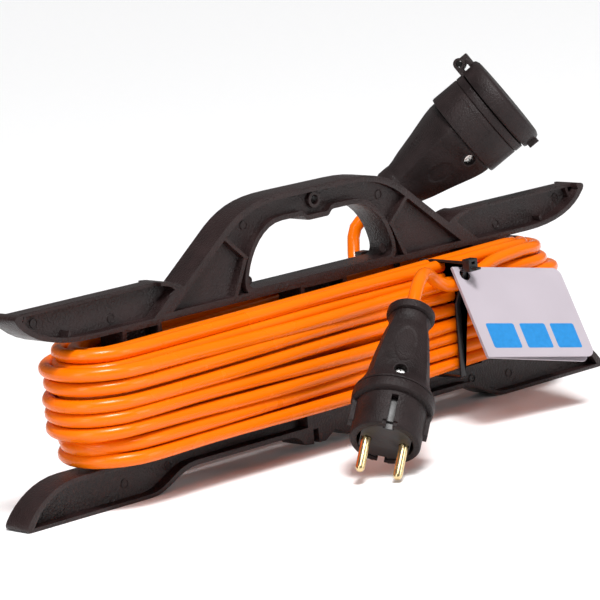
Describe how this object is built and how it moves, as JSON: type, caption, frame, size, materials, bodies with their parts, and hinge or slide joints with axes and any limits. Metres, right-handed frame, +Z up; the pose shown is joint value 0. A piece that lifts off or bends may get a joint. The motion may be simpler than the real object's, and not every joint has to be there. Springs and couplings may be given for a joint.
{
  "type": "extension cord",
  "caption": "Extension cord on a flat H-shaped winder frame with a rubber two-pin plug, a socket with a sprung flip lid and a folded hang tag.",
  "frame": {"origin": "centre of the winder frame's footprint, on the surface it stands on", "axes": "+X along the frame's length, towards the leg that the socket's cord leaves; +Y across the frame's thickness, away from the plug; +Z up"},
  "size_m": [0.4232, 0.1646, 0.1873],
  "materials": {
    "frame": "black moulded plastic with a fine grain",
    "cord": "glossy orange PVC",
    "plug_rubber": "matte black rubber with a fine grain",
    "socket_rubber": "satin black rubber",
    "insert": "satin black hard plastic",
    "brass": "turned and lightly polished",
    "steel": "zinc plated",
    "tie": "satin black nylon",
    "card": "white coated card with plain blue print blocks",
    "brown_core": "brown PVC insulation",
    "blue_core": "blue PVC insulation",
    "seal": "soft matte black rubber"
  },
  "bodies": {
    "cord_and_frame": {"winder_frame": "frame", "cord_winding": "cord", "plug_cord": "cord", "socket_cord": "cord", "plug_housing": "plug_rubber", "plug_front_shell": "plug_rubber", "plug_pin_carrier": "insert", "plug_pin_left": "brass", "plug_pin_right": "brass", "plug_terminal_screw_left": "steel", "plug_terminal_screw_right": "steel", "plug_housing_screw": "steel", "plug_cord_clamp": "insert", "plug_clamp_screw_left": "steel", "plug_clamp_screw_right": "steel", "plug_core_brown": "brown_core", "plug_core_blue": "blue_core", "socket_housing": "socket_rubber", "socket_sleeve": "socket_rubber", "socket_contact_carrier": "insert", "socket_contact_left": "brass", "socket_contact_right": "brass", "socket_terminal_screw_left": "steel", "socket_terminal_screw_right": "steel", "socket_housing_screw": "steel", "socket_cord_clamp": "insert", "socket_clamp_screw_left": "steel", "socket_clamp_screw_right": "steel", "socket_core_brown": "brown_core", "socket_core_blue": "blue_core", "lid_hinge_pin": "steel", "lid_spring": "steel", "front_tie": "tie", "rear_tie": "tie"},
    "socket_lid": {"socket_lid": "socket_rubber", "lid_seal": "seal"},
    "tag_back": {"tag_rear_leaf": "card"},
    "tag_front": {"tag_front_leaf": "card"}
  },
  "joints": [
    {"name": "socket_lid_hinge", "type": "hinge", "parent": "cord_and_frame", "child": "socket_lid", "pos_m": [0.13781, 0.01349, 0.18108], "axis": [-0.7571, -0.6408, 0.1274], "range_deg": [0, 110], "stiffness_Nm_per_rad": 0.03, "springref_deg": -28.65},
    {"name": "tag_swing", "type": "hinge", "parent": "cord_and_frame", "child": "tag_back", "pos_m": [0.07397, -0.03878, 0.07835], "axis": [1, 0, 0], "range_deg": [-30, 8]},
    {"name": "tag_fold", "type": "hinge", "parent": "tag_back", "child": "tag_front", "pos_m": [0.06248, -0.05142, 0.06146], "axis": [-0.2188, -0.5906, -0.7768], "range_deg": [0, 10]}
  ]
}
